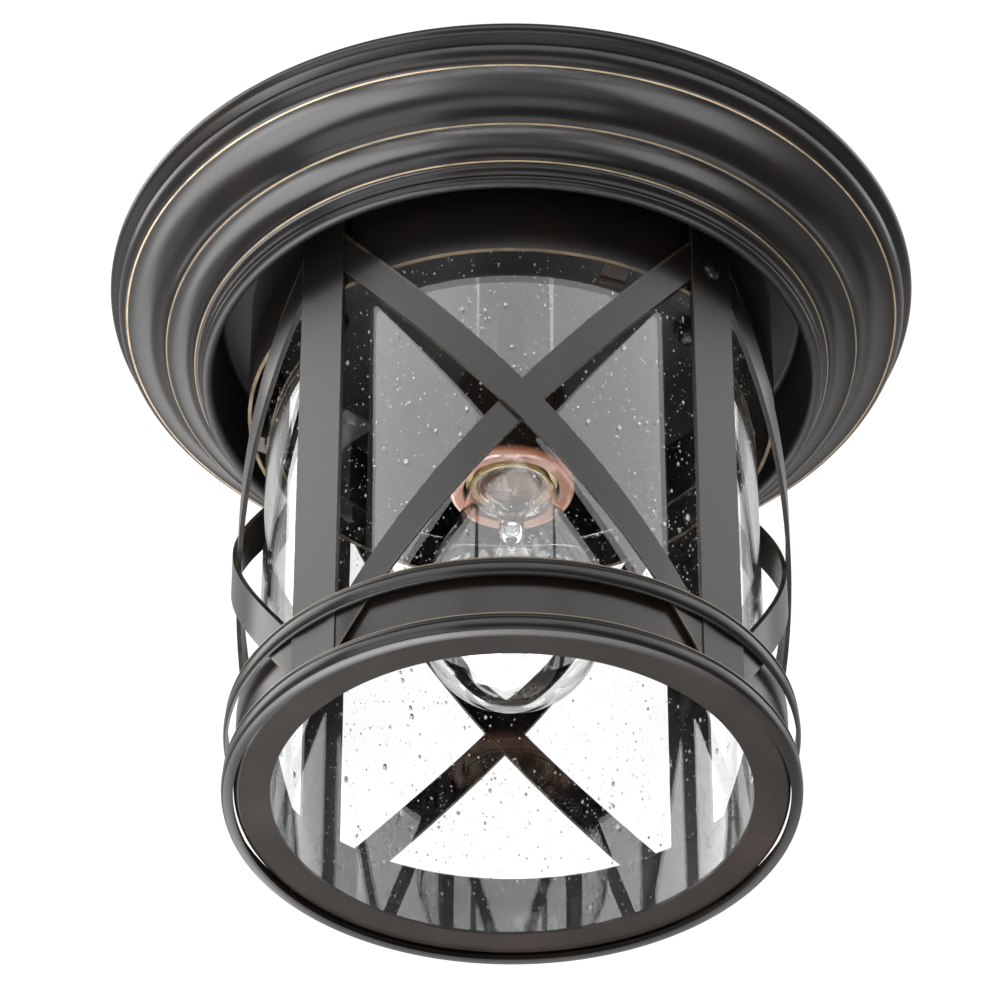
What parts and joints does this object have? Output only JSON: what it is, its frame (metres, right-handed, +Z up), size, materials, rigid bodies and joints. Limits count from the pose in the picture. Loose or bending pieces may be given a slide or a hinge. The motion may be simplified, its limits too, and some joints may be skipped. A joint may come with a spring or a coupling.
{
  "type": "porch ceiling lantern",
  "caption": "Flush ceiling lantern with a stepped pan, a round cage of flat uprights and crossed straps, an open glass cylinder and a clear lamp.",
  "frame": {"origin": "on the ceiling plane, on the lantern's axis, midway between the crossbar's two outlet-box slots", "axes": "+Z up into the ceiling, -Y the side that the picture shows, +X to its right, along the crossbar"},
  "size_m": [0.28, 0.28, 0.2174],
  "materials": {
    "bronze": "oil-rubbed bronze, satin, worn to gold on the edges",
    "zinc": "zinc plated",
    "green_screw": "green dyed zinc",
    "brass": "plain brass",
    "porcelain": "pink glazed porcelain",
    "clear_glass": "clear, with seeds in the cylinder",
    "black_glass": "black glass",
    "solder": "dull grey metal"
  },
  "bodies": {
    "lantern": {"ceiling_pan": "bronze", "pan_tabs": "zinc", "tab_rivets": "zinc", "mounting_crossbar": "zinc", "hanging_studs": "zinc", "stud_locknuts": "zinc", "cap_nuts": "bronze", "ground_screw": "green_screw", "socket_nipple": "brass", "nipple_locknuts": "brass", "socket_bracket": "zinc", "bracket_screws": "zinc", "lamp_socket": "porcelain", "socket_shell": "brass", "socket_contact": "brass", "cage_collar": "bronze", "cage_screws": "bronze", "glass_clips": "bronze", "upright_front_right": "bronze", "upright_rear_right": "bronze", "upright_rear_left": "bronze", "upright_front_left": "bronze", "strap_front_over": "bronze", "strap_right_over": "bronze", "strap_rear_over": "bronze", "strap_left_over": "bronze", "strap_front_under": "bronze", "strap_right_under": "bronze", "strap_rear_under": "bronze", "strap_left_under": "bronze", "base_ring": "bronze", "upper_hoop": "bronze", "lower_hoop": "bronze", "glass_cylinder": "clear_glass"},
    "lamp": {"bulb_envelope": "clear_glass", "bulb_cap": "brass", "bulb_insulator": "black_glass", "bulb_contact": "solder", "bulb_stem": "clear_glass", "bulb_leads": "solder", "bulb_filament": "solder"}
  },
  "joints": [
    {"name": "lamp_change", "type": "slide", "parent": "lantern", "child": "lamp", "axis": [0, 0, -1], "range_m": [0, 0.16]}
  ]
}
